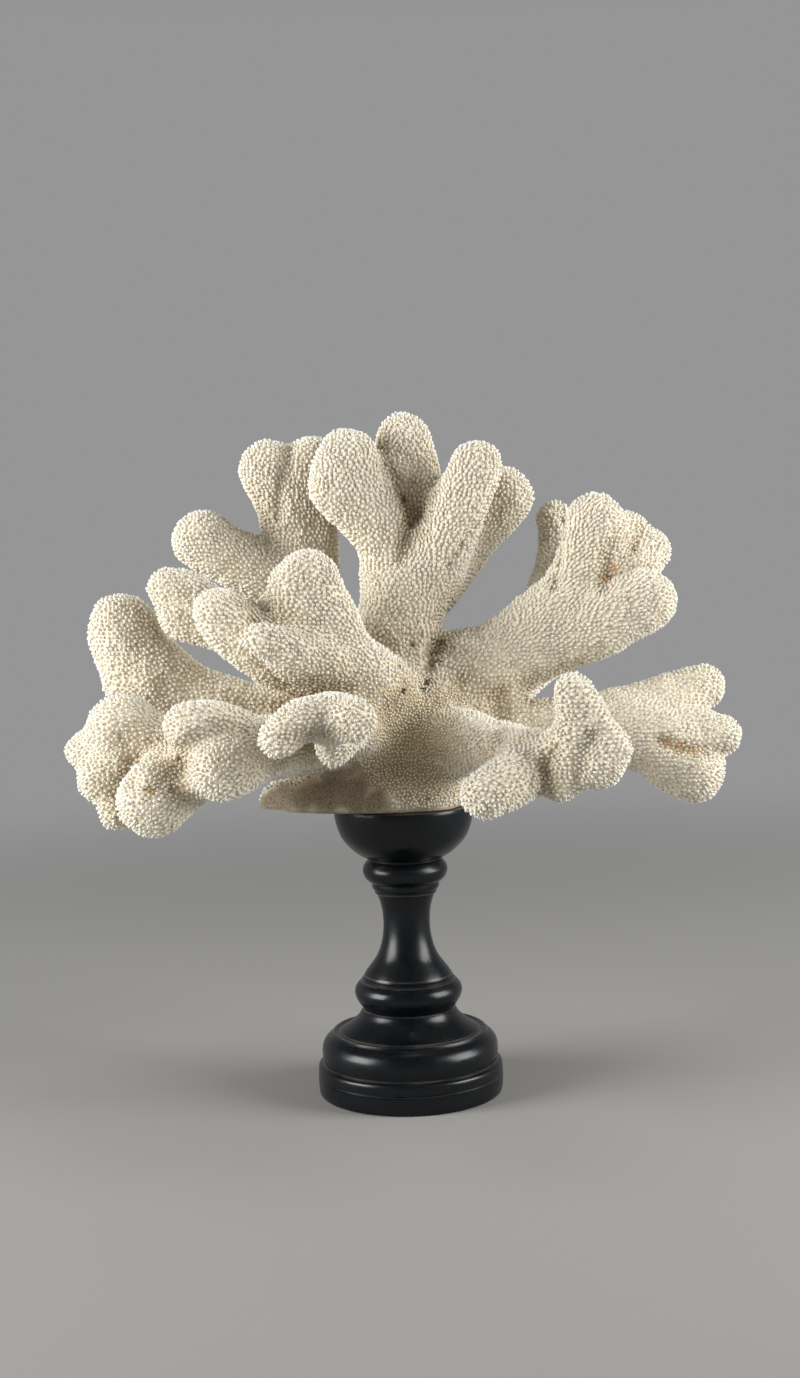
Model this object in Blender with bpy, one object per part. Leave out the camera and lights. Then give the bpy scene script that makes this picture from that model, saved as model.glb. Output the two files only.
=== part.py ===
"""A branching coral, cut flat underneath, standing on a turned wooden stand.

Metres, +Z up. The origin is the centre of the foot's underside, and the front of the coral faces -Y.
"""

import math

import bmesh
import bpy
from mathutils import Matrix, Vector

MM = 0.001

# Driving sizes, in millimetres
STAND_HEIGHT = 116.0
GAP = 0.3
CORAL_BOTTOM = STAND_HEIGHT + GAP
GRAIN_HEIGHT = 0.8
EYE_DISTANCE = 755.0
EYE_HEIGHT = 226.0
FRONT = Vector((0.0, -1.0, 0.0))

# Finish of the meshes
STAND_SIDES = 28
BEAD_SPACING = 0.3
BEAD_ROUNDNESS = 2
VOXEL = 1.6
SOFTENING_ROUNDS = 10
SOFTENING = 0.5
CORAL_TRIANGLES = 6300
FORK_SIDES = 16
FORK_MARGIN = 1.4
BASE_CUT_RADIUS = 64.0
BASE_CUT_DEPTH = 40.0

# The turned profile of the stand: radius and height of each step, from the foot's edge up to the cup's rim
STAND_PROFILE = (
    (36.1, 0.0),
    (36.8, 0.8),
    (37.1, 7.2),
    (36.5, 7.7),
    (37.0, 8.2),
    (36.7, 12.2),
    (34.6, 13.3),
    (35.3, 16.0),
    (35.3, 19.5),
    (33.6, 22.8),
    (30.9, 24.6),
    (29.6, 25.4),
    (28.2, 25.2),
    (24.5, 27.6),
    (20.5, 31.0),
    (18.6, 34.5),
    (19.6, 36.9),
    (21.3, 39.6),
    (21.3, 42.6),
    (19.3, 45.6),
    (18.0, 47.6),
    (16.4, 49.4),
    (13.0, 54.2),
    (10.7, 60.2),
    (9.6, 67.5),
    (9.8, 74.0),
    (11.4, 80.4),
    (12.7, 82.6),
    (13.4, 86.0),
    (16.2, 88.2),
    (17.1, 90.8),
    (16.2, 93.6),
    (14.6, 95.2),
    (20.0, 98.6),
    (24.3, 103.2),
    (27.0, 109.2),
    (27.8, 115.0),
    (27.3, 116.0),
)

# The coral's limbs. Each station of a limb is (across, up, back, half width): the spot where an eye in front
# of the stand sees it against the upright plane through the stand's axis, how far behind that plane it lies,
# and its half width as seen there. A branch's first limb is its stem, which is parted from the trunk at its
# second station. Flatness is the limb's thickness from front to back over its width.
TRUNK = {
    "flatness": 1.0,
    "limbs": (
        ((-12, 120, 6, 25), (3, 132, 6, 29), (6, 150, 8, 27), (2, 165, 10, 19)),
        ((-51, 117.5, 2, 7.5), (-36, 119, -1, 11), (-14, 126, 0, 20)),
        ((-40, 116, -10, 8), (-22, 119, -13, 11), (-4, 122, -13, 14), (10, 123, -11, 14)),
        ((40, 173, 5, 12), (27, 175, 6, 11)),
    ),
}
BRANCHES = {
    "branch_centre": {
        "flatness": 0.85,
        "limbs": (
            ((3, 162, 8, 18), (0, 188, 10, 16.2), (4, 202, 13, 18)),
            (
                (0, 199, 14, 15),
                (0, 211, 14, 14.5),
                (-2, 221, 13, 13),
                (-13, 235.5, 11, 14),
                (-20, 243, 9, 14.5),
                (-18, 253, 9, 12.5),
            ),
            ((2, 204, 20, 14), (0, 226, 20, 13), (-3, 245, 19, 11)),
            ((10, 204, 16, 12), (16, 226, 15, 9.5), (18, 239, 15, 7)),
            ((6, 202, 20, 15), (9, 222, 23, 14), (8, 240, 25, 12.5), (4, 260, 25, 11)),
            ((8, 199, 12, 12.5), (16, 212, 9, 12), (25, 232, 6, 10.5), (32, 248.5, 4, 11)),
            (
                (10, 199, 18, 12),
                (18, 209, 22, 12),
                (27, 219, 24, 11.5),
                (36, 228, 24, 11.2),
                (43, 236.5, 24, 11.6),
            ),
        ),
    },
    "branch_back_left": {
        "flatness": 0.85,
        "limbs": (
            ((-14, 160, 22, 16), (-33, 184, 38, 13.5), (-40, 202, 40, 14)),
            ((-36, 203, 40, 14), (-37, 218, 40, 13.5), (-42, 234, 40, 12), (-49, 250, 40, 12)),
            ((-34, 215, 40, 12), (-32, 235, 40, 10), (-32.5, 253, 40, 10)),
            ((-36, 218, 39, 12), (-39, 236, 39, 10.5), (-40.5, 249, 39, 8)),
            ((-38, 198, 38, 15), (-51, 208, 33, 13), (-63, 215, 29, 11.5), (-76, 223, 26, 12.2)),
        ),
    },
    "branch_upper_left": {
        "flatness": 0.85,
        "limbs": (
            ((-6, 158, -12, 16), (-21, 172, -24, 15), (-27, 177, -26, 15)),
            ((-23, 175, -25, 13), (-28, 188, -27, 13.8), (-34.3, 199, -29, 14.5), (-35, 206.5, -30, 13)),
            ((-29, 188, -28, 11), (-40.5, 204, -29, 10.6)),
            (
                (-25, 174, -26, 13),
                (-36, 172, -29, 13),
                (-46, 175, -31, 12.5),
                (-56, 180, -33, 11.5),
                (-63.5, 186, -34, 11.5),
                (-69.5, 193.5, -35, 11.2),
            ),
            ((-28, 173, -37, 8.5), (-40, 177, -42, 8), (-48, 181, -45, 7.5), (-54, 183.3, -47, 7)),
            ((-30, 180, -28, 12), (-43, 187, -29, 10), (-51, 191, -30, 8)),
            ((-46, 178, -24, 10), (-62, 186, -17, 9.5), (-76, 191, -13, 10), (-85, 193, -12, 9.8)),
            ((-70, 192, -13, 8.5), (-81, 202, -11, 8), (-91, 204.5, -11, 8)),
        ),
    },
    "branch_left": {
        "flatness": 0.72,
        "limbs": (
            (
                (-12, 150, 2, 17),
                (-38, 152, 2, 14),
                (-60, 154, 2, 12.5),
                (-83, 160.5, 2, 14.5),
                (-98, 168, 2, 18),
                (-105, 178, 2, 15.8),
                (-108.5, 189.5, 2, 14),
            ),
        ),
    },
    "branch_lower_left": {
        "flatness": 0.9,
        "limbs": (
            ((-14, 144, -12, 14), (-40, 141, -24, 12.5), (-62, 139, -31, 12), (-84, 138, -34, 12)),
            ((-84, 138, -34, 12), (-102, 143, -34, 13), (-110, 148.5, -33, 15)),
            ((-106, 142, -32, 10), (-126, 141, -29, 7.4)),
            ((-102, 136, -34, 11), (-120, 129.5, -36, 9.5)),
            ((-112, 128, -37, 8.5), (-115, 115, -39, 6.8)),
            ((-82, 136, -38, 12), (-92, 128, -50, 13.5), (-98.5, 120.5, -60, 15.2)),
            ((-88, 131, -48, 11), (-87, 123.5, -58, 9.5)),
            ((-46, 141, -32, 12), (-58, 141, -46, 12), (-74, 148, -58, 11), (-84, 149.5, -60, 10.8)),
            ((-56, 140, -46, 12), (-66, 134, -60, 13), (-72, 132, -66, 13)),
        ),
    },
    "branch_front": {
        "flatness": 1.0,
        "limbs": (
            ((-14, 146, -8, 12.5), (-22, 147, -42, 9.5), (-26, 148, -56, 9), (-29, 150, -72, 9.5)),
            ((-27, 152, -74, 9), (-19, 150, -82, 10)),
            ((-28, 152, -74, 9), (-39, 151, -80, 8.5), (-49, 143.5, -83, 8.2)),
            ((-22, 146, -54, 8), (-27, 138, -63, 6.3)),
        ),
    },
    "branch_right": {
        "flatness": 0.8,
        "limbs": (
            ((12, 158, 6, 17), (45, 175, 5, 16), (56, 181, 4, 17.5), (67, 188, 3, 18.5)),
            ((60, 191, 16, 11), (62, 203, 28, 9), (63, 214, 38, 7), (62.5, 227.5, 44, 7.6)),
            ((66, 190, 4, 14), (74, 208, 4, 12.5), (78, 225.5, 3, 11.8)),
            ((78, 208, 8, 10), (90.5, 221.5, 12, 9)),
            ((80, 200, 8, 12), (99.5, 214, 16, 9)),
            ((62, 182, 2, 15), (80, 187, -5, 14.5), (97, 194.5, -9, 13)),
            ((64, 186, 6, 14), (82, 199, 5, 12.5), (95, 206, 5, 9)),
        ),
    },
    "branch_lower_right": {
        "flatness": 0.9,
        "limbs": (
            ((18, 145, 2, 15), (52, 144.5, 0, 11.5), (74, 145, 0, 11.5)),
            ((72, 146.5, 0, 10.5), (88, 149.5, 3, 10.3), (105, 156, 6, 9.8), (120.5, 159.2, 8, 9)),
            ((72, 145, -2, 12), (92, 142, -6, 15), (108, 138, -9, 14)),
            ((84, 148, 2, 12), (102, 149, 0, 9.5), (114, 150, -1, 7.5)),
            ((104, 141, -8, 11), (114, 142, -8, 10), (127.5, 140.5, -9, 8)),
            ((102, 134, -9, 12), (115, 125, -14, 12.5)),
            ((106, 137, -9, 12), (119, 134, -11, 8.5)),
        ),
    },
    "branch_front_right": {
        "flatness": 0.95,
        "limbs": (
            ((14, 142, -10, 15), (34, 138, -34, 12), (50, 133, -54, 11.5), (64, 132, -64, 11.5)),
            ((70, 134, -68, 11.5), (72.5, 146, -70, 10), (69, 159, -72, 8.2)),
            ((62, 131, -64, 11), (76, 131, -70, 10.5), (82.5, 136, -72, 8.8)),
            ((72, 131, -68, 10), (80, 128.5, -70, 8.5)),
            ((70, 140, -69, 11), (79, 143, -71, 7)),
            ((60, 128, -64, 8), (62.5, 121, -70, 6.3)),
            ((54, 131, -60, 10), (42, 124, -72, 10.5), (32, 118.5, -78, 10)),
        ),
    },
    "branch_rear_left": {
        "flatness": 0.95,
        "limbs": (
            ((-6, 140, 16, 16), (-30, 144, 42, 12.5), (-44, 150, 55, 12)),
            ((-44, 150, 55, 12), (-47, 164, 66, 10), (-44, 176, 72, 10.5)),
            ((-43, 151, 56, 11), (-35, 158, 70, 10.5), (-31, 165, 80, 9.5)),
            ((-42, 149, 54, 11), (-60, 144, 60, 11), (-76, 144, 62, 10.5)),
            ((-42, 148, 56, 11), (-42, 138, 70, 10), (-44, 132, 82, 10)),
            ((-44, 150, 56, 12), (-46, 151, 68, 11.5), (-48, 150, 77, 8)),
            ((-60, 145, 60, 10), (-70, 153, 66, 7.5)),
        ),
    },
    "branch_rear": {
        "flatness": 0.95,
        "limbs": (
            ((4, 156, 22, 16), (3, 172, 47, 12.5), (2, 181, 59, 12)),
            ((2, 181, 59, 12), (-1.5, 198, 67, 10.5), (-4, 212, 70, 10), (-5, 224, 72, 9.5)),
            ((2, 181, 59, 12), (6, 197, 70, 10), (11, 214, 75, 9.5)),
            ((2, 176, 54, 12), (-1, 172, 76, 10), (-4, 170, 88, 9.5)),
            ((2, 182, 60, 12), (2, 193, 71, 11), (3, 202, 80, 8)),
            ((5, 190, 68, 9.5), (9, 196, 80, 7.5)),
        ),
    },
    "branch_rear_right": {
        "flatness": 0.95,
        "limbs": (
            ((14, 150, 18, 16), (38, 162, 42, 13), (52, 173, 53, 12)),
            ((52, 173, 53, 12), (70, 188, 56, 11), (84, 198, 56, 11)),
            ((52, 173, 53, 12), (60, 182, 70, 10.5), (64, 191, 80, 10.5)),
            ((52, 173, 54, 11.5), (72, 182, 64, 10), (88, 187, 68, 9)),
            ((48, 171, 54, 11), (43, 168, 72, 10), (38, 167, 84, 10)),
            ((54, 174, 56, 12), (62, 178, 66, 11.5), (70, 182, 73, 8.5)),
            ((76, 192, 56, 10), (78, 205, 62, 8)),
        ),
    },
    "branch_rear_low": {
        "flatness": 0.95,
        "limbs": (
            ((4, 138, 16, 16), (8, 138, 46, 12.5), (10, 138, 58, 12)),
            ((10, 138, 58, 12), (20, 134, 76, 10.5), (24, 130, 86, 10)),
            ((10, 138, 58, 12), (0, 139, 76, 11), (-6, 140, 86, 10.5)),
            ((10, 137, 54, 11.5), (34, 130, 62, 10.5), (50, 130, 66, 10)),
            ((10, 138, 60, 12), (10, 136, 70, 11.5), (11, 134, 80, 8.5)),
            ((36, 131, 63, 9.5), (44, 139, 72, 7.5)),
        ),
    },
}


def clear_scene():
    for obj in list(bpy.data.objects):
        bpy.data.objects.remove(obj, do_unlink=True)


def material(name, colour, roughness):
    """A plain non-metal finish."""
    made = bpy.data.materials.new(name)
    made.use_nodes = True
    shader = made.node_tree.nodes["Principled BSDF"]
    shader.inputs["Base Color"].default_value = (*colour, 1.0)
    shader.inputs["Roughness"].default_value = roughness
    shader.inputs["Metallic"].default_value = 0.0
    return made


def add_object(name, mesh, finish=None):
    obj = bpy.data.objects.new(name, mesh)
    bpy.context.scene.collection.objects.link(obj)
    if finish:
        mesh.materials.append(finish)
    return obj


def from_bmesh(name, bm):
    mesh = bpy.data.meshes.new(name)
    bm.to_mesh(mesh)
    bm.free()
    return mesh


def helper(name, bm):
    """A cutter, which isn't one of the object's pieces."""
    obj = add_object(name, from_bmesh(name, bm))
    obj.hide_render = True
    obj.display_type = "WIRE"
    return obj


def apply_modifiers(obj):
    """Gives the object the mesh that its modifiers make."""
    graph = bpy.context.evaluated_depsgraph_get()
    made = bpy.data.meshes.new_from_object(obj.evaluated_get(graph))
    obj.modifiers.clear()
    obj.data = made


def stand():
    """The stand, turned from one length of wood: its profile spun round the axis, and its ends closed."""
    bm = bmesh.new()
    first = [bm.verts.new((r * MM, 0.0, z * MM)) for r, z in STAND_PROFILE]
    edges = [bm.edges.new(pair) for pair in zip(first, first[1:])]
    bmesh.ops.spin(
        bm,
        geom=first + edges,
        cent=(0, 0, 0),
        axis=(0, 0, 1),
        angle=math.tau,
        steps=STAND_SIDES,
        use_merge=True,
    )
    bmesh.ops.remove_doubles(bm, verts=bm.verts, dist=0.01 * MM)
    open_edges = [e for e in bm.edges if e.is_boundary]
    bmesh.ops.holes_fill(bm, edges=open_edges, sides=0)
    bmesh.ops.recalc_face_normals(bm, faces=bm.faces)
    mesh = from_bmesh("stand", bm)
    mesh.shade_smooth()
    mesh.set_sharp_from_angle(angle=math.radians(35))
    return add_object("stand", mesh, material("black_stained_wood", (0.012, 0.013, 0.015), 0.35))


def seen(across, up, back, half_width):
    """The place and half width, in metres, of what is seen at (across, up) on the plane through the axis.

    The half width is taken out to the tips of the grains that cover the coral.
    """
    nearer = 1.0 + back / EYE_DISTANCE
    place = Vector((across * nearer, back, EYE_HEIGHT + (up - EYE_HEIGHT) * nearer)) * MM
    return place, (half_width * nearer + GRAIN_HEIGHT) * MM


def smooth_between(before, start, end, after, share):
    """A point on the Catmull-Rom curve from start to end."""
    square, cube = share**2, share**3
    return 0.5 * (
        2 * start
        + (end - before) * share
        + (2 * before - 5 * start + 4 * end - after) * square
        + (3 * start - before - 3 * end + after) * cube
    )


def along(stations):
    """Closely spaced (place, half width) pairs on a smooth line through a limb's stations."""
    placed = [seen(*station) for station in stations]
    padded = [placed[0], *placed, placed[-1]]
    for before, start, end, after in zip(padded, padded[1:], padded[2:], padded[3:]):
        steps = math.ceil((end[0] - start[0]).length / (BEAD_SPACING * min(start[1], end[1])))
        for step in range(steps):
            share = step / steps
            yield (
                smooth_between(before[0], start[0], end[0], after[0], share),
                start[1] + (end[1] - start[1]) * share,
            )
    yield placed[-1]


def limb(stations, flatness):
    """A mesh of overlapping beads along the limb, each thinner from front to back than it is wide."""
    facing = FRONT.to_track_quat("Y", "Z").to_matrix().to_4x4()
    bm = bmesh.new()
    for place, half_width in along(stations):
        bead = Matrix.Diagonal((half_width, half_width * flatness, half_width, 1.0))
        bmesh.ops.create_icosphere(
            bm, subdivisions=BEAD_ROUNDNESS, radius=1.0, matrix=Matrix.Translation(place) @ facing @ bead
        )
    return from_bmesh("limb", bm)


def disc(bm, centre, direction, radius, thickness, sides):
    """A closed cylinder, centred on centre and standing along direction."""
    turned = direction.to_track_quat("Z", "Y").to_matrix().to_4x4()
    bmesh.ops.create_cone(
        bm,
        cap_ends=True,
        segments=sides,
        radius1=radius,
        radius2=radius,
        depth=thickness,
        matrix=Matrix.Translation(centre) @ turned,
    )


def grown_coral():
    """The whole coral as one skin: every limb's beads melted together, softened and thinned."""
    bm = bmesh.new()
    for branch in (TRUNK, *BRANCHES.values()):
        for stations in branch["limbs"]:
            bm.from_mesh(limb(stations, branch["flatness"]))
    coral = add_object("coral", from_bmesh("coral", bm))
    melt = coral.modifiers.new("melt", "REMESH")
    melt.mode = "VOXEL"
    melt.voxel_size = VOXEL * MM
    soften = coral.modifiers.new("soften", "SMOOTH")
    soften.factor = SOFTENING
    soften.iterations = SOFTENING_ROUNDS
    apply_modifiers(coral)
    thin = coral.modifiers.new("thin", "DECIMATE")
    thin.ratio = CORAL_TRIANGLES / (2 * len(coral.data.polygons))
    thin.use_collapse_triangulate = True
    apply_modifiers(coral)
    return coral


def cut(obj, cutter):
    boolean = obj.modifiers.new("cut", "BOOLEAN")
    boolean.operation = "DIFFERENCE"
    boolean.solver = "EXACT"
    boolean.object = cutter
    apply_modifiers(obj)


def flat_underside(coral):
    """Cuts the coral flat where it was sawn from the reef. The low branches outside the cup stay whole."""
    bm = bmesh.new()
    middle = Vector((0.0, 0.0, CORAL_BOTTOM - BASE_CUT_DEPTH / 2)) * MM
    disc(bm, middle, Vector((0, 0, 1)), BASE_CUT_RADIUS * MM, BASE_CUT_DEPTH * MM, 2 * FORK_SIDES)
    cut(coral, helper("underside_cutter", bm))


def part_at_forks(coral):
    """Parts each branch from the trunk by a thin slice across its stem."""
    for name, branch in BRANCHES.items():
        root, fork, beyond = (seen(*station) for station in branch["limbs"][0][:3])
        bm = bmesh.new()
        disc(bm, fork[0], beyond[0] - root[0], fork[1] * FORK_MARGIN, GAP * MM, FORK_SIDES)
        cut(coral, helper(name + "_cutter", bm))


def loose_pieces(mesh):
    """The mesh's separate bodies, each as a list of its faces' indices."""
    bm = bmesh.new()
    bm.from_mesh(mesh)
    bm.faces.ensure_lookup_table()
    waiting = set(range(len(bm.faces)))
    bodies = []
    while waiting:
        body, edge_of_body = set(), [waiting.pop()]
        while edge_of_body:
            face = edge_of_body.pop()
            body.add(face)
            for edge in bm.faces[face].edges:
                for other in edge.link_faces:
                    if other.index in waiting:
                        waiting.discard(other.index)
                        edge_of_body.append(other.index)
        bodies.append(body)
    bm.free()
    return bodies


def only(mesh, name, body):
    """A copy of the mesh with this body's faces alone."""
    bm = bmesh.new()
    bm.from_mesh(mesh)
    bmesh.ops.delete(bm, geom=[f for f in bm.faces if f.index not in body], context="FACES")
    bmesh.ops.triangulate(bm, faces=bm.faces)
    made = from_bmesh(name, bm)
    made.shade_smooth()
    made.set_sharp_from_angle(angle=math.radians(50))
    return made


def nearest_body(mesh, bodies, place):
    """The body with a face nearest to the place."""

    def distance(body):
        return min((mesh.polygons[face].center - place).length for face in body)

    return min(bodies, key=distance)


def name_pieces(coral, finish):
    """Makes each body an object, named for the limb whose tip it holds, and returns the bodies left."""
    mesh = coral.data
    bodies = loose_pieces(mesh)
    tips = {"trunk": seen(*TRUNK["limbs"][0][0])[0]}
    for name, branch in BRANCHES.items():
        tips[name] = seen(*branch["limbs"][-1][-1])[0]
    for name, tip in tips.items():
        body = nearest_body(mesh, bodies, tip)
        bodies.remove(body)
        add_object(name, only(mesh, name, body), finish)
    bpy.data.objects.remove(coral)
    return bodies


clear_scene()
stand()
whole_coral = grown_coral()
flat_underside(whole_coral)
part_at_forks(whole_coral)
if name_pieces(whole_coral, material("bleached_coral", (0.80, 0.74, 0.62), 0.85)):
    raise ValueError("The coral fell into more bodies than it has branches.")
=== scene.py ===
"""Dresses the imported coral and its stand: the coral's grains, its colours and the stand's black finish."""

import math

import bmesh
import bpy
import numpy as np
from mathutils import Matrix, Vector, noise
from mathutils.bvhtree import BVHTree


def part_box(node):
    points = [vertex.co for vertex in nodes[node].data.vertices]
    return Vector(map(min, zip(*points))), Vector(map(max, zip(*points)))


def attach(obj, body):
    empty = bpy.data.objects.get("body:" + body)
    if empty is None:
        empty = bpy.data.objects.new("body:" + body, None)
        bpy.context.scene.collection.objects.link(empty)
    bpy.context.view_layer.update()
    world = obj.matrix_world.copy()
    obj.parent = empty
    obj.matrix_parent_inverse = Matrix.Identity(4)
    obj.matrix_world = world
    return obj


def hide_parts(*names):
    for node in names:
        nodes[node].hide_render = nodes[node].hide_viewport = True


MM = 0.001
# Points closer than this are one point
WELD = 0.001 * MM

# The photograph, in pixels, and the eye that took it
PHOTO_WIDTH = 800
PHOTO_HEIGHT = 1378
LENS = 50.0
FILM_HEIGHT = 36.0
EYE = Vector((0.0, -755.4, 225.8)) * MM
EYE_DOWN = math.radians(4.82)
EYE_ROLL = math.radians(1.63)

# The sawn underside: its height, how far it reaches from the axis, and what is added below it before it is
# cut flat
SAWN_HEIGHT = 116.3 * MM
SAWN_REACH = 62.0 * MM
SAWN_SPARE = 4.0 * MM

# The coral's skin under its grains: how far its parts grow so that they meet at the forks, the cell size of
# the fused skin, how many rounds of softening it gets and how strong each is, and how far it is drawn in
FORK_OVERLAP = 0.35 * MM
SKIN_CELL = 1.6 * MM
SKIN_SOFTENING = 14
SKIN_SOFTNESS = 0.5
SKIN_INSET = 0.9 * MM
# How far and in how many directions a place looks for coral that shelters it, how far over the skin the looks
# start, and the least that one rises, as a sine
SHELTER_REACH = 22.0 * MM
SHELTER_LOOKS = 14
SHELTER_START = 0.4 * MM
LOWEST_LOOK = 0.15
# Size and depth of the swellings that keep a limb from being a plain tube
SWELLINGS = ((15.0 * MM, 1.1 * MM), (6.0 * MM, 0.5 * MM), (3.6 * MM, 0.25 * MM))

# The grains: cups at least 1.48 mm apart that lean towards the branch's tip, finer and closer round the
# trunk's middle
GRAIN_SPACING = 1.48 * MM
FINE_SPACING = 1.05 * MM
# Places tried for grains on a square metre, and the seeds of their places, turns and sizes
GRAIN_TRIES = 6.0e6
PLACES_SEED = 7
SPIN_SEED = 3
SIZES_SEED = 5
# A grain of size 1: the radius of its foot, its height and its number of sides
GRAIN_RADIUS = 0.84 * MM
GRAIN_HEIGHT = 1.5 * MM
GRAIN_SIDES = 5
# A grain's top as a share of its foot's width, and the share of its height that lies under the skin
GRAIN_TOP = 0.56
GRAIN_SUNK = 0.25
# How strongly the growth pulls a grain over, against the skin's normal, and the smallest and the largest size
# that is drawn
GRAIN_LEAN = 1.1
GRAIN_SIZES = (0.8, 1.15)
# The size of a fine grain as a share of a coarse one's
FINE_GRAIN = 0.74
# Where the branches grow from, and the middle, inner and outer edge of the part with fine grains
HEART = Vector((4.0, 2.0, 138.0)) * MM
FINE_HEART = Vector((4.0, -14.0, 142.0)) * MM
FINE_NEAR = 20.0 * MM
FINE_FAR = 36.0 * MM
# The size of the blotches that make the edges of the fine and bare parts uneven, and how far they shift the
# edge of the fine part
BLOTCH_SIZE = 5.0 * MM
FINE_WOBBLE = 8.0 * MM

# Bare places, where no grains are left: (column, row) of the photograph and the radius in millimetres
BARE = (
    (262, 806, 6.0),
    (280, 800, 8.0),
    (300, 797, 9.0),
    (325, 795, 9.0),
    (340, 775, 7.0),
    (352, 798, 9.0),
    (374, 803, 6.0),
    (429, 645, 1.8),
    (427, 656, 2.0),
    (426, 667, 1.6),
)
# How uneven a bare place's edge is, and where it starts to end and is over, as shares of its radius
BARE_WOBBLE = 0.45
BARE_EDGE = (0.5, 1.3)
# How far up from the sawn underside the rim is bare
SAWN_RIM = 1.6 * MM
# How much smaller a grain gets as its place gets bare, and how bare a place is when it has no grains left
SHRINKING = 0.8
BARE_LIMIT = 0.6

# The size of the coral's cloudy tones, and the spacing and depth of its pores
CORAL_CLOUDS = 16.0 * MM
PORE_SPACING = 0.8 * MM
PORE_DEPTH = 0.15 * MM
# The coral's colours: cream tips, tan silt between them, painted shade where they are sheltered, and the
# pored grey-brown of sawn and bare places
TIP_OPEN = ("#F6F3E9", "#EFEADC")
TIP_FINE = "#F7F1E2"
# The tips' colour with painted shade, where the coral shelters them
TIP_IN_PAINTED_SHADE = "#CDBE99"
SILT_OPEN = "#EADFC7"
# The silt's colour with painted shade, where the coral shelters it
SILT_IN_PAINTED_SHADE = "#86663C"
# The fine part's silt, darkened with painted shade as well as silt
FINE_SILT_AND_SHADE = "#B9A57E"
BARE_COLOURS = ("#ADA089", "#867761")
# Painted shade in the pores of sawn and bare places
PORE_SHADE_COLOUR = "#5F4C33"
# The shelter at which the painted shade on silt and tips starts and is deepest, and how much of the tips'
# painted shade fine grains keep
PAINTED_SHADE_SHELTER = (0.06, 0.72)
FINE_SHADE_KEPT = 0.35
# Where on a grain silt gives way to cream, from 0 at its foot to 1 at its top, and how far from a pore's
# middle its dark starts to end and is over, as shares of the spacing
GRAIN_RISE = (0.22, 0.68)
PORE_EDGE = (0.15, 0.5)

# Stains and patches of painted shade: colour, radius in millimetres, how softly they end, and the pixel of
# the photograph where each lies
STAINS_AND_SHADE = (
    # In the crotch over the trunk: painted shade in worm holes, the scar's pale ridge, painted shade in its
    # cracks, and pits beside it
    ("#351A0F", 1.2, 0.25, (413, 645)),
    ("#351A0F", 1.1, 0.25, (399, 666)),
    ("#30160C", 1.5, 0.25, (404, 691)),
    ("#CDBF9F", 2.2, 0.7, (432, 650)),
    ("#6B4C2B", 1.5, 0.6, (425, 672)),
    ("#6B4C2B", 1.9, 0.7, (426, 684)),
    ("#5A3A20", 0.7, 0.5, (447, 646)),
    ("#5A3A20", 0.7, 0.5, (455, 647)),
    ("#5A3A20", 0.6, 0.5, (441, 661)),
    # Rusty tan on two branches at the right
    ("#D2A674", 3.8, 1.0, (605, 578)),
    ("#DBB587", 3.2, 1.0, (614, 568)),
    ("#E3C9A0", 4.4, 1.0, (666, 741)),
    ("#DDBB8A", 4.2, 1.0, (680, 746)),
    ("#E0C296", 3.8, 1.0, (694, 751)),
    # Old silt under the lobes at the lower left, and painted shade in the crotch of the centre branch
    ("#A88E55", 4.5, 1.0, (150, 790)),
    ("#A88E55", 3.5, 1.0, (176, 790)),
    ("#6E5433", 2.6, 1.0, (404, 500)),
    ("#6E5433", 2.6, 1.0, (410, 525)),
    # Pits in the sawn flange and by the cup's rim
    ("#5B4126", 0.9, 0.5, (292, 790)),
    ("#5B4126", 0.7, 0.5, (281, 800)),
    ("#6B4A2A", 1.2, 0.6, (428, 799)),
)
TINT_STRENGTH = 0.85
# The size of the ragged edge of each stain and patch of painted shade, and how far it wanders
TINT_RAGGEDNESS = 1.5 * MM
TINT_WOBBLE = 0.8 * MM
# How far in front of the skin the middle of each stain and patch of painted shade lies, so that it colours
# the grains' tips
TINT_LIFT = 0.8 * MM

# How many steps a stroke takes from one of its pixels to the next
STROKE_STEPS = 5
# Hollows and grooves, as strokes: radius and depth in millimetres, and the pixels of the photograph that each
# runs through
HOLLOWS = (
    (5.0, 2.0, (290, 447), (283, 480), (277, 516)),
    (5.0, 2.4, (379, 445), (398, 487), (412, 512)),
    (5.0, 2.2, (443, 462), (424, 495), (409, 528), (401, 558)),
    (3.5, 1.8, (502, 472), (482, 516), (449, 566)),
    (9.0, 1.6, (300, 578), (317, 603)),
    (4.0, 1.6, (269, 607), (258, 600)),
    (3.0, 1.4, (254, 620), (300, 653)),
    (3.2, 1.8, (246, 653), (287, 687)),
    (7.0, 1.6, (121, 737), (133, 753)),
    (4.0, 1.6, (112, 795), (129, 766), (162, 753)),
    (7.0, 2.4, (133, 782), (171, 780)),
    (6.0, 1.5, (187, 749), (217, 728), (246, 728)),
    (6.0, 1.8, (290, 736), (345, 736)),
    (4.0, 2.2, (566, 503), (560, 545), (553, 587)),
    (4.5, 2.0, (620, 516), (607, 557), (603, 587)),
    (3.0, 1.6, (643, 528), (632, 549)),
    (3.5, 2.2, (668, 564), (637, 566), (612, 574)),
    (4.0, 3.0, (439, 641), (424, 687)),
    (4.0, 1.3, (720, 707), (695, 703), (662, 707)),
    (4.5, 2.6, (728, 753), (703, 749), (678, 749), (662, 741)),
    (4.0, 1.7, (545, 795), (545, 766), (553, 749)),
    (5.5, 1.3, (580, 776), (582, 753), (591, 737)),
    (7.0, 2.0, (499, 737), (499, 700)),
)

# The studio's colour, and how bright it is towards its back wall, its front and its ceiling
STUDIO_COLOUR = "#DDDDDE"
STUDIO_LIGHT = 0.42
STUDIO_LIGHT_FRONT = 0.27
STUDIO_LIGHT_ABOVE = 0.1
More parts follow.
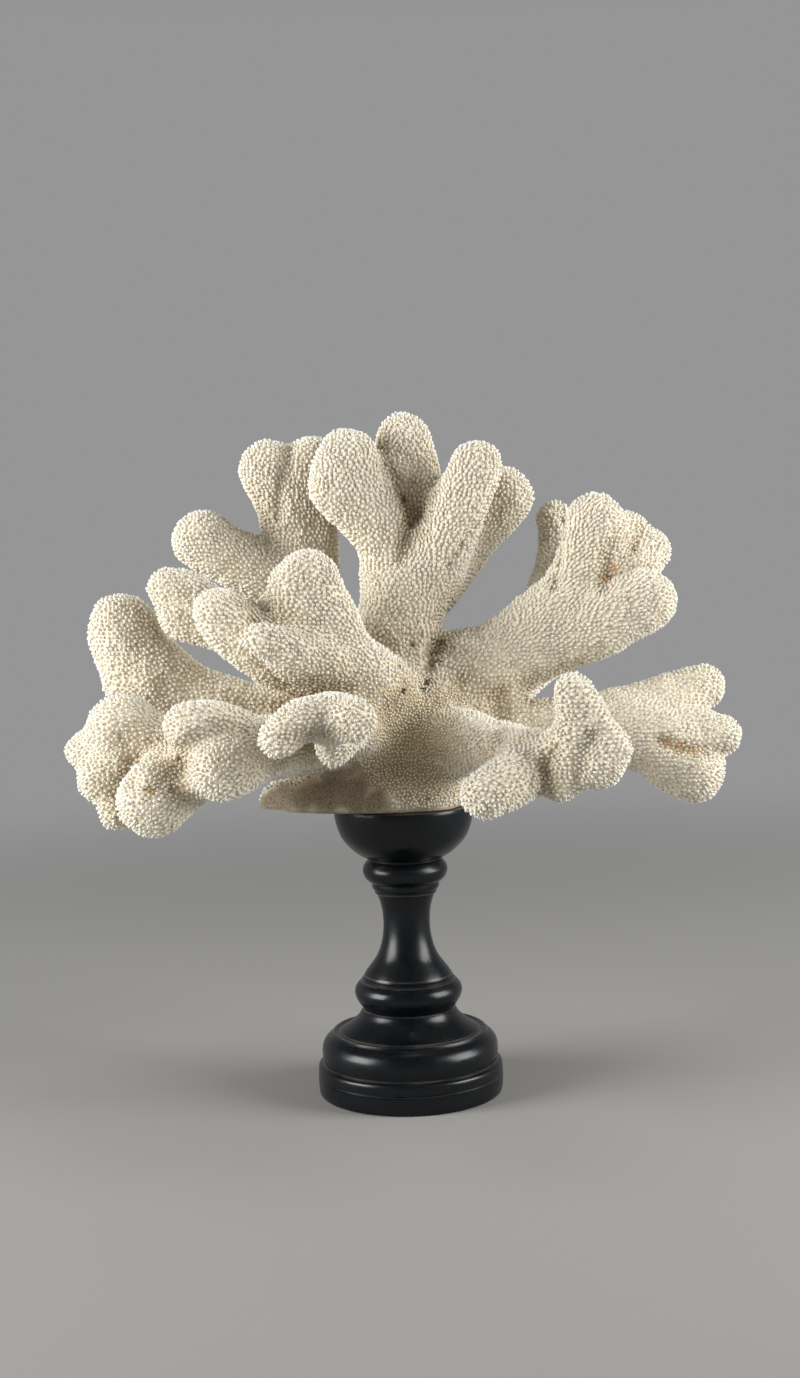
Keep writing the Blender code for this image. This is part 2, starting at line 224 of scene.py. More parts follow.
# The part of a direction's Y over which the front turns into the back wall, and of its Z over which the walls
# turn into the ceiling
WALL_TURNS = (-0.5, 0.6)
CEILING_TURNS = (0.25, 0.7)
# The floor's colour, its radius in metres and its number of sides
FLOOR_COLOUR = "#9C9B98"
FLOOR_RADIUS = 6.0
FLOOR_SIDES = 96
# The distances from the axis between which the floor melts into the studio's light, in metres
FLOOR_MELTS = (0.22, 0.95)
# Soft boxes: name, place and width in metres, and power in watts
SOFT_BOXES = (
    ("soft_box_left", (-0.93, -0.34, 0.4), 0.6, 14.2),
    ("soft_box_right", (0.9, -0.22, 0.44), 0.6, 11.6),
    ("soft_box_above", (0.05, 0.1, 1.15), 0.4, 1.5),
)
SOFT_BOX_AIM = Vector((0, 0, 170)) * MM

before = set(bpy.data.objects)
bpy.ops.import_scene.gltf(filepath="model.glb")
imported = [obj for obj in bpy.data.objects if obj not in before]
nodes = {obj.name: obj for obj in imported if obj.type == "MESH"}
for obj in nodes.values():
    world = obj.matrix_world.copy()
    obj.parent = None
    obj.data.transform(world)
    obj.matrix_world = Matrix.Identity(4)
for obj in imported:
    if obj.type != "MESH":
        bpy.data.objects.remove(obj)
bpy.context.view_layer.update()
coral_nodes = sorted(name for name in nodes if name != "stand")


def linear(colour):
    """The linear RGBA of an sRGB colour such as "#F3EEE2"."""
    channels = (int(colour[i : i + 2], 16) / 255 for i in (1, 3, 5))
    return (*(c / 12.92 if c <= 0.04045 else ((c + 0.055) / 1.055) ** 2.4 for c in channels), 1.0)


def node(tree, kind, inputs=None, **settings):
    """Adds a node. inputs gives its sockets, by name or number, a value or another node's output.

    A Map Range turns socket 0 from the range of sockets 1 and 2 into that of sockets 3 and 4. A colour Mix
    has its share in socket 0, its two colours in sockets 6 and 7 and its result in output 2.
    """
    made = tree.nodes.new(kind)
    for name, value in settings.items():
        setattr(made, name, value)
    for socket, value in (inputs or {}).items():
        if isinstance(value, bpy.types.NodeSocket):
            tree.links.new(value, made.inputs[socket])
        else:
            made.inputs[socket].default_value = value
    return made


def add_object(name, mesh, *finishes):
    obj = bpy.data.objects.new(name, mesh)
    bpy.context.scene.collection.objects.link(obj)
    mesh.materials.clear()
    for finish in finishes:
        mesh.materials.append(finish)
    return obj


def from_bmesh(name, bm):
    mesh = bpy.data.meshes.new(name)
    bm.to_mesh(mesh)
    bm.free()
    return mesh


def apply_modifiers(obj):
    """Gives the object the mesh that its modifiers make."""
    graph = bpy.context.evaluated_depsgraph_get()
    made = bpy.data.meshes.new_from_object(obj.evaluated_get(graph))
    obj.modifiers.clear()
    obj.data = made


def eye_turn():
    return Matrix.Rotation(math.pi / 2 - EYE_DOWN, 4, "X") @ Matrix.Rotation(-EYE_ROLL, 4, "Z")


def spot(surface, column, row):
    """The place on the surface that the eye sees at this pixel of the photograph."""
    pixels = LENS / FILM_HEIGHT * PHOTO_HEIGHT
    sight = Vector((column - PHOTO_WIDTH / 2, PHOTO_HEIGHT / 2 - row, -pixels))
    place = surface.ray_cast(EYE, eye_turn().to_3x3() @ sight)[0]
    return place


def vertex_array(mesh, what):
    values = np.empty(len(mesh.vertices) * 3, np.float32)
    getattr(mesh, what).foreach_get("vector" if what == "vertex_normals" else "co", values)
    return values.reshape(-1, 3)


def store(mesh, name, values):
    """Stores one number a vertex under this name, for the materials and the grains to read."""
    attribute = mesh.attributes.new(name, "FLOAT", "POINT")
    attribute.data.foreach_set("value", np.asarray(values, np.float32))


def fused_skin():
    """One skin over the trunk and all its branches, without the gaps at the forks."""
    bm = bmesh.new()
    for name in coral_nodes:
        bm.from_mesh(nodes[name].data)
    bmesh.ops.remove_doubles(bm, verts=bm.verts, dist=WELD)
    bm.normal_update()
    outwards = [(v, v.normal.copy()) for v in bm.verts]
    for v, direction in outwards:
        v.co += direction * FORK_OVERLAP
    sawn_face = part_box("trunk")[0].z
    for v in bm.verts:
        if v.co.z < sawn_face + FORK_OVERLAP and v.co.xy.length < SAWN_REACH:
            v.co.z -= SAWN_SPARE
    skin = add_object("skin", from_bmesh("skin", bm))
    fuse = skin.modifiers.new("fuse", "REMESH")
    fuse.mode = "VOXEL"
    fuse.voxel_size = SKIN_CELL
    soften = skin.modifiers.new("soften", "SMOOTH")
    soften.factor = SKIN_SOFTNESS
    soften.iterations = SKIN_SOFTENING
    apply_modifiers(skin)
    return skin


def near_stroke(places, surface, *pixels):
    """How far each place is from a stroke that the eye sees on the surface through these pixels."""
    seen = [spot(surface, *pixels[0])]
    for (column, row), (next_column, next_row) in zip(pixels, pixels[1:]):
        for step in range(1, STROKE_STEPS + 1):
            share = step / STROKE_STEPS
            across = column + (next_column - column) * share
            down = row + (next_row - row) * share
            seen.append(spot(surface, across, down))
    gaps = [np.linalg.norm(places - np.array(place), axis=1) for place in seen if place]
    return np.min(gaps, axis=0)


def swell(mesh, surface):
    """Shapes the skin's swellings and hollows, and draws it in so that the grains' tips reach the solids."""
    places = vertex_array(mesh, "vertices")
    normals = vertex_array(mesh, "vertex_normals")
    push = np.full(len(places), -SKIN_INSET)
    for size, depth in SWELLINGS:
        push += [depth * noise.noise(Vector(place) / size) for place in places]
    for radius, depth, *pixels in HOLLOWS:
        push -= depth * MM * (1 - smoothstep(0, radius * MM, near_stroke(places, surface, *pixels)))
    mesh.vertices.foreach_set("co", (places + normals * push[:, None]).ravel())
    mesh.update()


def looks_round(count):
    """Directions spread evenly over a half sphere about +Z."""
    golden = math.pi * (3 - math.sqrt(5))
    for i in range(count):
        up = LOWEST_LOOK + (1 - LOWEST_LOOK) * (i + 0.5) / count
        across = math.sqrt(1 - up * up)
        yield Vector((across * math.cos(i * golden), across * math.sin(i * golden), up))


def shelter(surface, places, normals):
    """How much of the sky over each place nearby coral takes up, from 0 to 1."""
    looks = list(looks_round(SHELTER_LOOKS))
    found = []
    for place, normal in zip(places, normals):
        facing = Vector(normal)
        start = Vector(place) + facing * SHELTER_START
        turn = facing.to_track_quat("Z", "Y")
        hits = sum(surface.ray_cast(start, turn @ look, SHELTER_REACH)[0] is not None for look in looks)
        found.append(hits / SHELTER_LOOKS)
    return np.array(found)


def smoothstep(low, high, values):
    share = np.clip((values - low) / (high - low), 0, 1)
    return share * share * (3 - 2 * share)


def mark(mesh, surface):
    """Stores where the skin is sheltered, bare and fine, and which way it grew."""
    places = vertex_array(mesh, "vertices")
    normals = vertex_array(mesh, "vertex_normals")
    blotches = np.array([noise.noise(Vector(place) / BLOTCH_SIZE) for place in places])
    bare = np.zeros(len(places))
    start, end = BARE_EDGE
    for column, row, radius in BARE:
        away = near_stroke(places, surface, (column, row)) + blotches * radius * BARE_WOBBLE * MM
        bare = np.maximum(bare, 1 - smoothstep(start * radius * MM, end * radius * MM, away))
    sawn = 1 - smoothstep(0, SAWN_RIM, places[:, 2] - SAWN_HEIGHT)
    sawn[np.linalg.norm(places[:, :2], axis=1) > SAWN_REACH] = 0
    bare = np.maximum(bare, sawn)
    from_heart = np.linalg.norm(places - np.array(FINE_HEART), axis=1)
    fine = 1 - smoothstep(FINE_NEAR, FINE_FAR, from_heart + blotches * FINE_WOBBLE)
    store(mesh, "shelter", shelter(surface, places, normals))
    store(mesh, "bare", bare)
    store(mesh, "fine", fine)
    store(mesh, "size", 1 - SHRINKING * bare)
    outwards = places - np.array(HEART)
    outwards /= np.linalg.norm(outwards, axis=1)[:, None]
    growth = mesh.attributes.new("growth", "FLOAT_VECTOR", "POINT")
    growth.data.foreach_set("vector", outwards.astype(np.float32).ravel())
    store(mesh, "tip", np.zeros(len(places)))


def grain_form():
    """A single grain: a stubby bead with a blunt top, whose foot is sunk in the skin."""
    bm = bmesh.new()
    shape = {"segments": GRAIN_SIDES, "radius1": 1.0, "radius2": GRAIN_TOP, "depth": 1.0}
    bmesh.ops.create_cone(bm, cap_ends=True, **shape)
    bmesh.ops.translate(bm, verts=bm.verts, vec=(0, 0, 0.5 - GRAIN_SUNK))
    for face in bm.faces:
        face.smooth = True
    tips = [1.0 if v.co.z > 0 else 0.0 for v in bm.verts]
    mesh = from_bmesh("grain", bm)
    store(mesh, "tip", tips)
    form = add_object("grain", mesh)
    form.hide_render = True
    form.hide_viewport = True
    return form


def grain_nodes(form):
    """The nodes that set grains over a skin, each leaning from the normal towards the branch's growth."""
    tree = bpy.data.node_groups.new("grains", "GeometryNodeTree")
    tree.interface.new_socket("Geometry", in_out="INPUT", socket_type="NodeSocketGeometry")
    tree.interface.new_socket("Geometry", in_out="OUTPUT", socket_type="NodeSocketGeometry")
    skin = node(tree, "NodeGroupInput").outputs[0]
    joined = node(tree, "GeometryNodeJoinGeometry")
    attribute = "GeometryNodeInputNamedAttribute"
    random = "FunctionNodeRandomValue"
    shape = node(tree, "GeometryNodeObjectInfo", {"Object": form}).outputs["Geometry"]
    growth = node(tree, attribute, {"Name": "growth"}, data_type="FLOAT_VECTOR").outputs["Attribute"]
    size = node(tree, attribute, {"Name": "size"}, data_type="FLOAT").outputs["Attribute"]
    kinds = (("coarse grains", GRAIN_SPACING, 1.0), ("fine grains", FINE_SPACING, FINE_GRAIN))
    for where, spacing, share in kinds:
        chosen = node(tree, attribute, {"Name": where}, data_type="BOOLEAN").outputs["Attribute"]
        points = node(
            tree,
            "GeometryNodeDistributePointsOnFaces",
            {
                "Mesh": skin,
                "Selection": chosen,
                "Distance Min": spacing,
                "Density Max": GRAIN_TRIES,
                "Seed": PLACES_SEED,
            },
            distribute_method="POISSON",
        )
        lean = node(
            tree,
            "ShaderNodeVectorMath",
            {0: growth, 1: (GRAIN_LEAN,) * 3, 2: points.outputs["Normal"]},
            operation="MULTIPLY_ADD",
        )
        upright = node(tree, "FunctionNodeAlignRotationToVector", {"Vector": lean.outputs[0]}, axis="Z")
        spin = node(tree, random, {2: 0.0, 3: math.tau, "Seed": SPIN_SEED}, data_type="FLOAT").outputs[1]
        spinning = node(tree, "FunctionNodeAxisAngleToRotation", {"Axis": (0, 0, 1), "Angle": spin})
        turned = node(
            tree,
            "FunctionNodeRotateRotation",
            {"Rotation": upright.outputs[0], "Rotate By": spinning.outputs[0]},
            rotation_space="LOCAL",
        )
        chance = node(
            tree,
            random,
            {2: GRAIN_SIZES[0] * share, 3: GRAIN_SIZES[1] * share, "Seed": SIZES_SEED},
            data_type="FLOAT",
        )
        sized = node(tree, "ShaderNodeMath", {0: size, 1: chance.outputs[1]}, operation="MULTIPLY")
        scale = node(
            tree,
            "ShaderNodeVectorMath",
            {0: (GRAIN_RADIUS, GRAIN_RADIUS, GRAIN_HEIGHT), "Scale": sized.outputs[0]},
            operation="SCALE",
        )
        grains = node(
            tree,
            "GeometryNodeInstanceOnPoints",
            {
                "Points": points.outputs["Points"],
                "Instance": shape,
                "Rotation": turned.outputs[0],
                "Scale": scale.outputs[0],
            },
        )
        real = node(tree, "GeometryNodeRealizeInstances", {"Geometry": grains.outputs[0]})
        tree.links.new(real.outputs[0], joined.inputs[0])
    tree.links.new(skin, joined.inputs[0])
    node(tree, "NodeGroupOutput", {0: joined.outputs[0]})
    return tree


def shares_of_skin(mesh):
    """For each face of the skin, the CAD node that it is nearest to."""
    corners, faces, owners = [], [], []
    for name in coral_nodes:
        data = nodes[name].data
        first = len(corners)
        corners += [v.co.copy() for v in data.vertices]
        faces += [[first + i for i in face.vertices] for face in data.polygons]
        owners += [name] * len(data.polygons)
    solids = BVHTree.FromPolygons(corners, faces)
    return [owners[solids.find_nearest(face.center)[2]] for face in mesh.polygons]


def skin_of(mesh, name, owners):
    """A closed copy of this node's share of the skin, with hidden caps at its forks and a flat underside."""
    bm = bmesh.new()
    bm.from_mesh(mesh)
    others = [face for face in bm.faces if owners[face.index] != name]
    bmesh.ops.delete(bm, geom=others, context="FACES")
    coarse_layer = bm.faces.layers.bool.new("coarse grains")
    fine_layer = bm.faces.layers.bool.new("fine grains")
    bare = bm.verts.layers.float["bare"]
    fine = bm.verts.layers.float["fine"]
    for face in bm.faces:
        grained = max(v[bare] for v in face.verts) < BARE_LIMIT
        is_fine = face.verts[0][fine] > 0.5
        face[coarse_layer] = grained and not is_fine
        face[fine_layer] = grained and is_fine
        face.smooth = True
    if name == "trunk":
        parts = bm.verts[:] + bm.edges[:] + bm.faces[:]
        cut = {"plane_co": (0, 0, SAWN_HEIGHT), "plane_no": (0, 0, 1), "clear_inner": True}
        bmesh.ops.bisect_plane(bm, geom=parts, dist=WELD, **cut)
    rims = [edge for edge in bm.edges if edge.is_boundary]
    for edge in rims:
        edge.smooth = False
    bmesh.ops.holes_fill(bm, edges=rims, sides=0)
    bmesh.ops.recalc_face_normals(bm, faces=bm.faces)
    bmesh.ops.triangulate(bm, faces=[face for face in bm.faces if len(face.verts) > 4])
    return from_bmesh(name, bm)


def coral_material(surface):
    """Bleached coral skeleton: matte aragonite, cream on the grains' tips, tan with old silt between them,
    and painted shade where nearby coral shelters it.
    """
    made = bpy.data.materials.new("bleached_coral")
    made.use_nodes = True
    tree = made.node_tree
    tree.nodes.clear()
    read = "ShaderNodeAttribute"
    mix = "ShaderNodeMix"
    ramp = "ShaderNodeMapRange"
    vector = "ShaderNodeVectorMath"
    tip = node(tree, read, attribute_name="tip").outputs["Fac"]
    sheltered = node(tree, read, attribute_name="shelter").outputs["Fac"]
    bare = node(tree, read, attribute_name="bare").outputs["Fac"]
    fine = node(tree, read, attribute_name="fine").outputs["Fac"]
    where = node(tree, "ShaderNodeTexCoord").outputs["Object"]
    clouds = {"Vector": where, "Scale": 1 / CORAL_CLOUDS, "Detail": 3.0}
    blotch = node(tree, "ShaderNodeTexNoise", clouds).outputs[0]
    cells = {"Vector": where, "Scale": 1 / PORE_SPACING, "Randomness": 0.9}
    pores = node(tree, "ShaderNodeTexVoronoi", cells).outputs["Distance"]
    # The silt between the grains, with painted shade where it is sheltered, and darker silt with painted
    # shade on the fine part
    shade_share = node(tree, ramp, {0: sheltered, 1: PAINTED_SHADE_SHELTER[0], 2: PAINTED_SHADE_SHELTER[1]}).outputs[0]
    silt = {0: shade_share, 6: linear(SILT_OPEN), 7: linear(SILT_IN_PAINTED_SHADE)}
    deep = node(tree, mix, silt, data_type="RGBA").outputs[2]
    deep = node(tree, mix, {0: fine, 6: deep, 7: linear(FINE_SILT_AND_SHADE)}, data_type="RGBA").outputs[2]
    # The grains' tips, with painted shade where they are sheltered
    cream = {0: blotch, 6: linear(TIP_OPEN[0]), 7: linear(TIP_OPEN[1])}
    light = node(tree, mix, cream, data_type="RGBA").outputs[2]
    light = node(tree, mix, {0: fine, 6: light, 7: linear(TIP_FINE)}, data_type="RGBA").outputs[2]
    fine_keeps_shade = node(tree, ramp, {0: fine, 3: 1.0, 4: FINE_SHADE_KEPT}).outputs[0]
    tip_shade = node(tree, "ShaderNodeMath", {0: shade_share, 1: fine_keeps_shade}, operation="MULTIPLY").outputs[0]
    light = node(tree, mix, {0: tip_shade, 6: light, 7: linear(TIP_IN_PAINTED_SHADE)}, data_type="RGBA").outputs[2]
    upper = {0: tip, 1: GRAIN_RISE[0], 2: GRAIN_RISE[1]}
    rise = node(tree, ramp, upper, interpolation_type="SMOOTHSTEP").outputs[0]
    grain = node(tree, mix, {0: rise, 6: deep, 7: light}, data_type="RGBA").outputs[2]
    # The sawn and bare places, with painted shade in their pores
    pit = node(tree, ramp, {0: pores, 1: PORE_EDGE[0], 2: PORE_EDGE[1]}).outputs[0]
    plain = {0: blotch, 6: linear(BARE_COLOURS[0]), 7: linear(BARE_COLOURS[1])}
    smooth = node(tree, mix, plain, data_type="RGBA").outputs[2]
    pored = node(tree, mix, {0: pit, 6: linear(PORE_SHADE_COLOUR), 7: smooth}, data_type="RGBA").outputs[2]
    colour = node(tree, mix, {0: bare, 6: grain, 7: pored}, data_type="RGBA").outputs[2]
    # Stains and patches of painted shade, with uneven edges
    uneven = {"Vector": where, "Scale": 1 / TINT_RAGGEDNESS}
    wobble = node(tree, "ShaderNodeTexNoise", uneven).outputs["Color"]
    shift = {0: wobble, 1: (TINT_WOBBLE,) * 3, 2: where}
    shifted = node(tree, vector, shift, operation="MULTIPLY_ADD").outputs[0]
    for tint, radius, softness, pixel in STAINS_AND_SHADE:
        place = spot(surface, *pixel)
        centre = place + (EYE - place).normalized() * TINT_LIFT + Vector((TINT_WOBBLE / 2,) * 3)
        away = node(tree, vector, {0: shifted, 1: centre}, operation="DISTANCE").outputs["Value"]
        edge = {0: away, 1: radius * MM, 2: radius * (1 - softness) * MM, 3: 0.0, 4: TINT_STRENGTH}
        share = node(tree, ramp, edge, interpolation_type="SMOOTHSTEP").outputs[0]
        colour = node(tree, mix, {0: share, 6: colour, 7: linear(tint)}, data_type="RGBA").outputs[2]
    dents = {"Height": pores, "Strength": 0.5, "Distance": PORE_DEPTH}
    pitted = node(tree, "ShaderNodeBump", dents).outputs[0]
    shader = node(
        tree,
        "ShaderNodeBsdfPrincipled",
        {"Base Color": colour, "Roughness": 0.82, "Normal": pitted, "IOR": 1.53},
    )
    node(tree, "ShaderNodeOutputMaterial", {0: shader.outputs[0]})
    return made


def dress_coral():
    skin = fused_skin()
    surface = BVHTree.FromObject(skin, bpy.context.evaluated_depsgraph_get())
    swell(skin.data, surface)
    surface = BVHTree.FromObject(skin, bpy.context.evaluated_depsgraph_get())
    mark(skin.data, surface)
    finish = coral_material(surface)
    owners = shares_of_skin(skin.data)
    setting = grain_nodes(grain_form())
    for name in coral_nodes:
        piece = add_object("coral_" + name, skin_of(skin.data, name, owners), finish)
        grains = piece.modifiers.new("grains", "NODES")
        grains.node_group = setting
        apply_modifiers(piece)
        piece.data.materials.clear()
        piece.data.materials.append(finish)
        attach(piece, "root")
        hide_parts(name)
    bpy.data.objects.remove(skin)
    bpy.data.objects.remove(bpy.data.objects["grain"])


# The stand's turned profile, as strokes of (radius, height) in millimetres that meet at crisp arrises
STAND_STROKES = (
    ((35.4, 0.0), (36.3, 0.3), (36.8, 1.4), (37.0, 4.0), (37.1, 6.9)),
    ((37.1, 6.9), (36.4, 7.5), (37.0, 8.1)),
    ((37.0, 8.1), (36.9, 11.3), (36.3, 12.3), (34.8, 12.9)),
    ((34.8, 12.9), (34.7, 13.6), (35.1, 15.0), (35.3, 17.6), (34.9, 20.3), (33.5, 22.6), (31.4, 24.1)),
    ((31.4, 24.1), (31.0, 24.6), (30.6, 25.3), (29.6, 25.4)),
    ((29.6, 25.4), (28.6, 25.1), (28.2, 25.3)),
    ((28.2, 25.3), (25.8, 26.6), (22.6, 29.0), (20.2, 31.4), (18.9, 33.6)),
    ((18.9, 33.6), (18.3, 34.3), (18.6, 35.2)),
    ((18.6, 35.2), (20.2, 37.3), (21.3, 39.8), (21.5, 41.4), (20.9, 43.4), (19.3, 45.3)),
    ((19.3, 45.3), (18.4, 45.6), (18.3, 46.6)),
    ((18.3, 46.6), (17.6, 46.9), (17.5, 47.9)),
    (
        (17.5, 47.9),
        (16.4, 49.6),
        (14.6, 52.0),
        (12.5, 55.0),
        (10.8, 58.8),
        (9.7, 63.5),
        (9.3, 68.5),
        (9.6, 73.5),
        (10.5, 77.5),
        (11.6, 80.4),
    ),
    ((11.6, 80.4), (12.3, 80.9), (12.4, 82.0)),
    ((12.4, 82.0), (12.9, 82.4), (13.4, 83.4), (13.4, 85.0)),
    ((13.4, 85.0), (14.2, 85.4), (15.9, 87.0), (16.9, 89.6), (16.5, 92.0), (15.0, 94.0), (14.4, 94.6)),
    (
        (14.4, 94.6),
        (14.8, 95.0),
        (17.1, 96.0),
        (20.0, 98.0),
        (23.0, 100.9),
        (25.3, 104.2),
        (26.9, 108.6),
        (27.7, 112.8),
        (27.8, 115.0),
    ),
    ((27.8, 115.0), (27.6, 115.8), (26.8, 116.0)),
)
STAND_SIDES = 96
# About how far apart, in millimetres, the profile's points lie, and how sharp an edge stays crisp
STAND_STEP = 0.7
CRISP_EDGE = math.radians(32)
# Heights of the arrises where the black is rubbed thin and a painted highlight runs, in millimetres, and how
# far the rubbing and the painted highlight reach
WORN_AND_LIT_ARRISES = (7.5, 12.9, 25.4, 34.2, 45.5, 47.8, 81.0, 94.6, 115.9)
WEAR_AND_HIGHLIGHT_REACH = 0.22 * MM
# The grey of the arrises: rubbed wear and a painted highlight
WORN_AND_HIGHLIGHT_COLOUR = "#3E3B38"
BLACK_COLOURS = ("#04070B", "#0A0F14")
# The lathe's marks: their length round the stand, how many times thinner than long they are, and their depth
LATHE_MARKS = 9.0 * MM
LATHE_THINNING = 14
LATHE_DEPTH = 0.05 * MM
# The size of the clouds in the finish, the part of their range over which the wear and painted highlight on
# the arrises grow from their least to their full strength, and the part over which the roughness grows from
# its least to its most
FINISH_CLOUDS = 12.0 * MM
WEAR_AND_HIGHLIGHT_CLOUDS = (0.35, 0.6)
WEAR_AND_HIGHLIGHT_STRENGTH = (0.25, 1.0)
ROUGH_CLOUDS = (0.3, 0.7)
ROUGHNESS = (0.22, 0.34)


def smooth_between(before, start, end, after, share):
    """A point on the Catmull-Rom curve from start to end."""
    square, cube = share**2, share**3
    return 0.5 * (
        2 * start
        + (end - before) * share
        + (2 * before - 5 * start + 4 * end - after) * square
        + (3 * start - before - 3 * end + after) * cube
    )


def stroke_points(stroke):
    """Close points along a smooth line through a stroke's points."""
    points = [Vector(point) for point in stroke]
    padded = [points[0], *points, points[-1]]
    for before, start, end, after in zip(padded, padded[1:], padded[2:], padded[3:]):
        steps = max(1, round((end - start).length / STAND_STEP))
        for step in range(steps):
            yield smooth_between(before, start, end, after, step / steps)


def stand_form():
    """The stand as it comes off the lathe: its profile spun round the axis."""
    profile = [point for stroke in STAND_STROKES for point in stroke_points(stroke)]
    profile.append(Vector(STAND_STROKES[-1][-1]))
    bm = bmesh.new()
    line = [bm.verts.new((radius * MM, 0, height * MM)) for radius, height in profile]
    edges = [bm.edges.new(pair) for pair in zip(line, line[1:])]
    turn = {"cent": (0, 0, 0), "axis": (0, 0, 1), "angle": math.tau, "steps": STAND_SIDES}
    bmesh.ops.spin(bm, geom=line + edges, use_merge=True, **turn)
    ends = [edge for edge in bm.edges if edge.is_boundary]
    bmesh.ops.holes_fill(bm, edges=ends, sides=0)
    bmesh.ops.recalc_face_normals(bm, faces=bm.faces)
    mesh = from_bmesh("stand", bm)
    mesh.shade_smooth()
    mesh.set_sharp_from_angle(angle=CRISP_EDGE)
    return mesh


def stand_material():
    """Ebonised hardwood, turned, stained black and rubbed with satin lacquer, which gives soft highlights."""
    made = bpy.data.materials.new("black_stained_wood")
    made.use_nodes = True
    tree = made.node_tree
    tree.nodes.clear()
    mix = "ShaderNodeMix"
    ramp = "ShaderNodeMapRange"
    where = node(tree, "ShaderNodeTexCoord").outputs["Object"]
    flat = {"Vector": where, "Scale": (1, 1, LATHE_THINNING)}
    stretched = node(tree, "ShaderNodeMapping", flat).outputs[0]
    marks = {"Vector": stretched, "Scale": 1 / LATHE_MARKS, "Detail": 4.0}
    turning = node(tree, "ShaderNodeTexNoise", marks).outputs[0]
    clouds = {"Vector": where, "Scale": 1 / FINISH_CLOUDS, "Detail": 4.0}
    rub = node(tree, "ShaderNodeTexNoise", clouds).outputs[0]
    blacks = {0: rub, 6: linear(BLACK_COLOURS[0]), 7: linear(BLACK_COLOURS[1])}
    colour = node(tree, mix, blacks, data_type="RGBA").outputs[2]
    height = node(tree, "ShaderNodeSeparateXYZ", {0: where}).outputs["Z"]
    wear_and_highlight = {0: rub, 1: WEAR_AND_HIGHLIGHT_CLOUDS[0], 2: WEAR_AND_HIGHLIGHT_CLOUDS[1], 3: WEAR_AND_HIGHLIGHT_STRENGTH[0], 4: WEAR_AND_HIGHLIGHT_STRENGTH[1]}
    patchy = node(tree, ramp, wear_and_highlight).outputs[0]
    # Grey lines at the arrises: rubbed wear and a painted highlight
    for arris in WORN_AND_LIT_ARRISES:
        near = {0: height, 1: arris * MM, 2: WEAR_AND_HIGHLIGHT_REACH}
        rubbed = node(tree, "ShaderNodeMath", near, operation="COMPARE").outputs[0]
        worn_and_lit = node(tree, "ShaderNodeMath", {0: rubbed, 1: patchy}, operation="MULTIPLY").outputs[0]
        colour = node(tree, mix, {0: worn_and_lit, 6: colour, 7: linear(WORN_AND_HIGHLIGHT_COLOUR)}, data_type="RGBA").outputs[2]
    sheen = {0: rub, 1: ROUGH_CLOUDS[0], 2: ROUGH_CLOUDS[1], 3: ROUGHNESS[0], 4: ROUGHNESS[1]}
    roughness = node(tree, ramp, sheen).outputs[0]
    tooled = {"Height": turning, "Strength": 0.25, "Distance": LATHE_DEPTH}
    turned = node(tree, "ShaderNodeBump", tooled).outputs[0]
    satin = {"Roughness": roughness, "IOR": 1.5, "Specular IOR Level": 0.34}
    shader = node(tree, "ShaderNodeBsdfPrincipled", {"Base Color": colour, "Normal": turned, **satin})
    node(tree, "ShaderNodeOutputMaterial", {0: shader.outputs[0]})
    return made


def dress_stand():
    piece = add_object("turned_stand", stand_form(), stand_material())
    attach(piece, "root")
    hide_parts("stand")


def wall_light(tree, way):
    """The studio's light from this direction: its back wall is lit, and its front is darker."""
    back = node(tree, "ShaderNodeSeparateXYZ", {0: way}).outputs["Y"]
    walls = {0: back, 1: WALL_TURNS[0], 2: WALL_TURNS[1], 3: STUDIO_LIGHT_FRONT, 4: STUDIO_LIGHT}
    return node(tree, "ShaderNodeMapRange", walls, interpolation_type="SMOOTHSTEP").outputs[0]


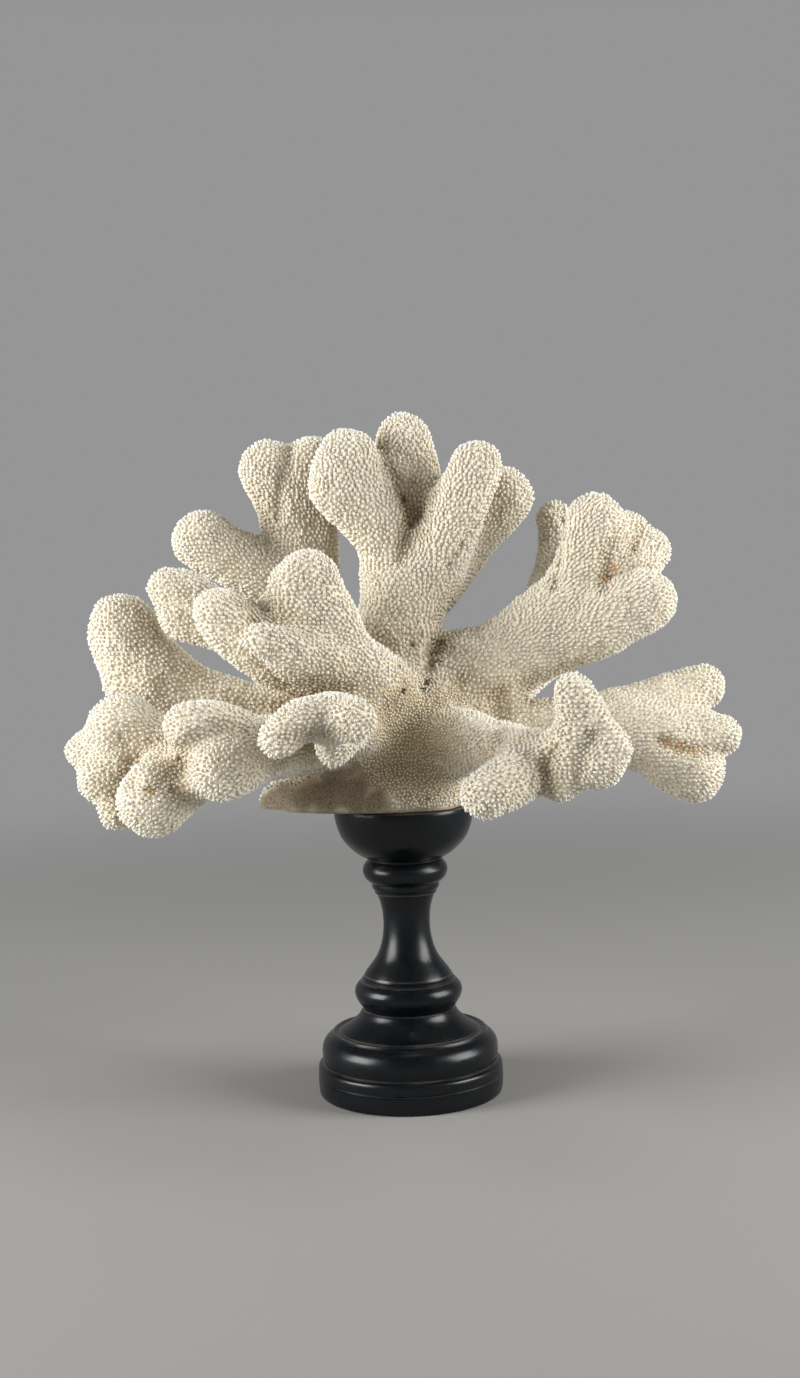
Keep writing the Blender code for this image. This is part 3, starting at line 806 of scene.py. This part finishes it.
def floor_material():
    """Pale paper underfoot that melts into the studio's own light further off."""
    made = bpy.data.materials.new("pale_paper")
    made.use_nodes = True
    tree = made.node_tree
    tree.nodes.clear()
    where = node(tree, "ShaderNodeTexCoord").outputs["Object"]
    away = node(tree, "ShaderNodeVectorMath", {0: where}, operation="LENGTH").outputs["Value"]
    melts = {0: away, 1: FLOOR_MELTS[0], 2: FLOOR_MELTS[1]}
    far = node(tree, "ShaderNodeMapRange", melts, interpolation_type="SMOOTHSTEP").outputs[0]
    paper = node(tree, "ShaderNodeBsdfDiffuse", {"Color": linear(FLOOR_COLOUR)}).outputs[0]
    way = node(tree, "ShaderNodeVectorMath", {0: where}, operation="NORMALIZE").outputs["Vector"]
    light = wall_light(tree, way)
    shine = {"Color": linear(STUDIO_COLOUR), "Strength": light}
    glow = node(tree, "ShaderNodeEmission", shine).outputs[0]
    both = node(tree, "ShaderNodeMixShader", {0: far, 1: paper, 2: glow}).outputs[0]
    node(tree, "ShaderNodeOutputMaterial", {0: both})
    return made


def studio():
    """A pale floor without a horizon, three soft boxes, and the eye."""
    bm = bmesh.new()
    bmesh.ops.create_circle(bm, cap_ends=True, segments=FLOOR_SIDES, radius=FLOOR_RADIUS)
    floor = add_object("floor", from_bmesh("floor", bm), floor_material())
    world = bpy.data.worlds.new("studio")
    world.use_nodes = True
    tree = world.node_tree
    tree.nodes.clear()
    way = node(tree, "ShaderNodeTexCoord").outputs["Generated"]
    up = node(tree, "ShaderNodeSeparateXYZ", {0: way}).outputs["Z"]
    walls = wall_light(tree, way)
    height = {0: up, 1: CEILING_TURNS[0], 2: CEILING_TURNS[1], 3: walls, 4: STUDIO_LIGHT_ABOVE}
    light = node(tree, "ShaderNodeMapRange", height).outputs[0]
    shine = {"Color": linear(STUDIO_COLOUR), "Strength": light}
    sky = node(tree, "ShaderNodeBackground", shine).outputs[0]
    node(tree, "ShaderNodeOutputWorld", {0: sky})
    bpy.context.scene.world = world
    bpy.context.scene.view_settings.view_transform = "Standard"
    for name, place, size, power in SOFT_BOXES:
        lamp = bpy.data.lights.new(name, "AREA")
        lamp.energy = power
        lamp.size = size
        box = bpy.data.objects.new(name, lamp)
        bpy.context.scene.collection.objects.link(box)
        box.location = place
        box.rotation_euler = (SOFT_BOX_AIM - Vector(place)).to_track_quat("-Z", "Y").to_euler()
    camera = bpy.data.cameras.new("eye")
    camera.lens = LENS
    camera.sensor_fit = "VERTICAL"
    camera.sensor_height = FILM_HEIGHT
    eye = bpy.data.objects.new("eye", camera)
    bpy.context.scene.collection.objects.link(eye)
    eye.matrix_world = Matrix.Translation(EYE) @ eye_turn()
    bpy.context.scene.camera = eye


dress_coral()
dress_stand()
studio()
